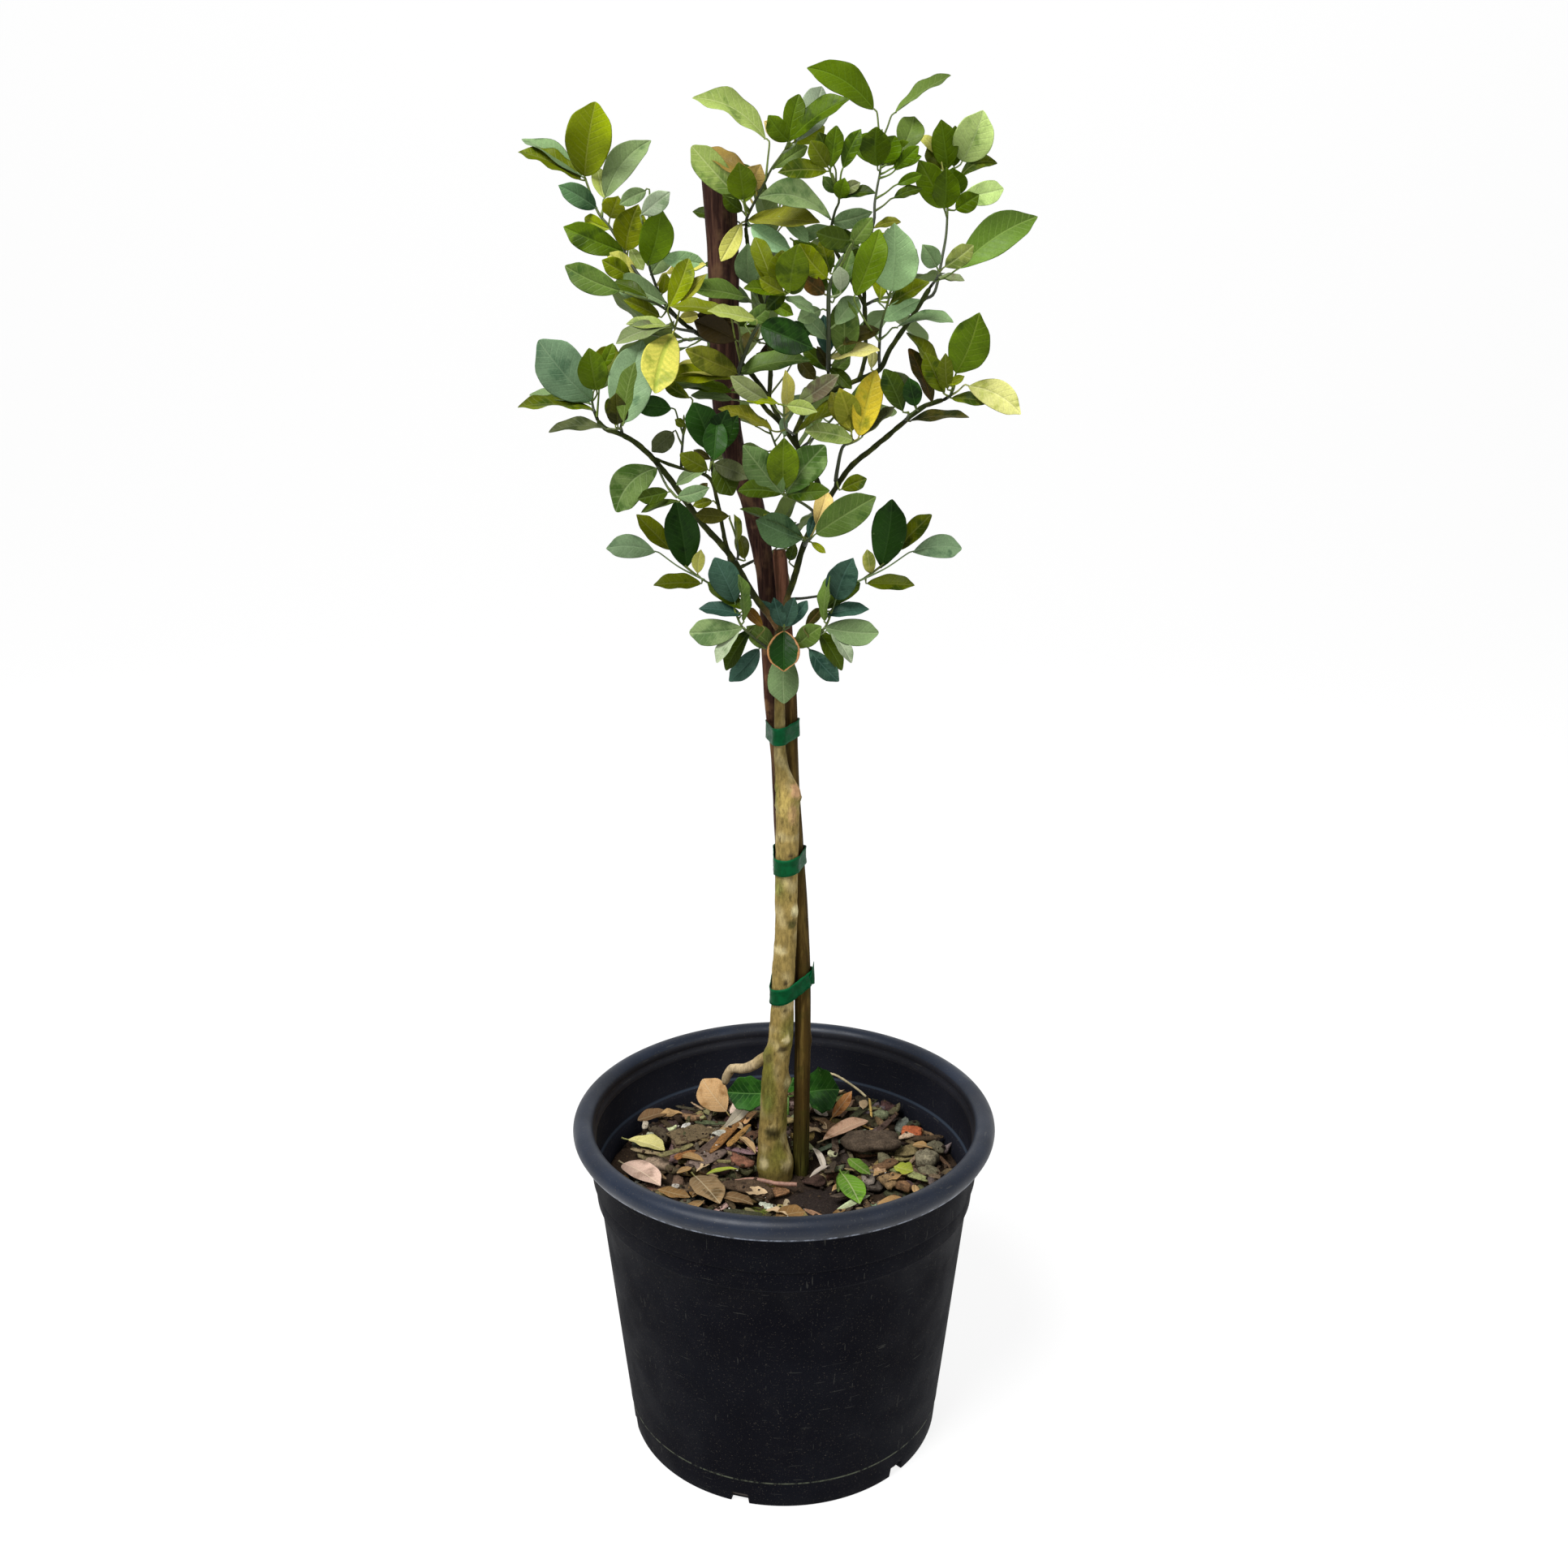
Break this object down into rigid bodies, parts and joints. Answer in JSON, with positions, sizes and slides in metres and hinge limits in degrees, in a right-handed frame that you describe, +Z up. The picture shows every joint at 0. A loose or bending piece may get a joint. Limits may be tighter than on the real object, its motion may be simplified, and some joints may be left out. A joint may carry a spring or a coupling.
{
  "type": "potted citrus tree",
  "caption": "Young grafted citrus tree, staked and tied, with a leafy open crown, standing in a round black nursery pot with mulch and fallen leaves.",
  "frame": {"origin": "centre of the pot's flat foot, on the surface it stands on", "axes": "+Z up the trunk, -Y towards the front, +X to the right as seen from the front"},
  "size_m": [0.3356, 0.3194, 0.9947],
  "materials": {
    "pot_plastic": "matte moulded black, slightly bluish on the rim",
    "soil": "dark potting mix",
    "mulch": "mixed bark chips and crumbs",
    "bark": "smooth mottled olive-tan bark",
    "stake_olive": "weathered olive-brown wood",
    "stake_dark": "rough dark red-brown wood",
    "tape": "flat green nursery tape, satin",
    "foliage": "leathery leaves, satin, from lime to deep green",
    "leaf_dry_yellow": "fallen yellow leaf",
    "leaf_dry_pink": "dry pink-tan leaf",
    "leaf_dry_tan": "dry tan leaf",
    "leaf_dry_orange": "dry orange-tan leaf",
    "leaf_dry_brown": "dry brown leaf",
    "leaf_fresh": "fresh green leaf bits and weed",
    "twig_dry": "dry pink-brown twig",
    "straw_dry": "pale straw",
    "bark_chunk": "dark ridged bark",
    "terracotta": "matte terracotta chip",
    "stone": "rough grey stone"
  },
  "bodies": {
    "root": {"pot": "pot_plastic", "soil": "soil", "mulch": "mulch", "trunk": "bark", "stake_short": "stake_olive", "stake_tall": "stake_dark", "tie_low": "tape", "tie_middle": "tape", "tie_top": "tape", "bark_plate": "bark_chunk", "chip_terracotta": "terracotta", "stone_grey": "stone", "leaf_yellow": "leaf_dry_yellow", "leaf_pink": "leaf_dry_pink", "leaf_brown": "leaf_dry_brown", "leaf_rose": "leaf_dry_pink", "leaf_green": "leaf_fresh", "leaf_tan": "leaf_dry_tan", "leaf_orange": "leaf_dry_orange", "weed": "leaf_fresh", "twig_fallen": "twig_dry", "straw": "straw_dry", "shoot_left_top": "foliage", "shoot_left_upper": "foliage", "shoot_hub": "foliage", "shoot_hub_left": "foliage", "shoot_left_end": "foliage", "shoot_left_elbow": "foliage", "shoot_left_mid": "foliage", "shoot_low_inner": "foliage", "shoot_centre_left": "foliage", "shoot_centre": "foliage", "shoot_top_left": "foliage", "shoot_top_mid": "foliage", "shoot_top_right": "foliage", "shoot_right_top": "foliage", "shoot_right_upper": "foliage", "shoot_right_mid": "foliage", "shoot_right_stem": "foliage", "shoot_spear": "foliage", "shoot_right_fork": "foliage", "shoot_right_end": "foliage", "shoot_right_low": "foliage", "shoot_low_left": "foliage", "shoot_low_mid": "foliage", "shoot_right_inner": "foliage", "shoot_tulip": "foliage", "shoot_foot_left": "foliage", "shoot_foot_left_out": "foliage", "shoot_foot_right": "foliage", "shoot_foot_right_out": "foliage", "shoot_foot": "foliage", "shoot_back_low": "foliage", "shoot_back_foot": "foliage", "shoot_back_left": "foliage", "shoot_back_mid": "foliage", "shoot_back_top": "foliage", "shoot_back_right": "foliage", "shoot_back_centre": "foliage"}
  },
  "joints": []
}
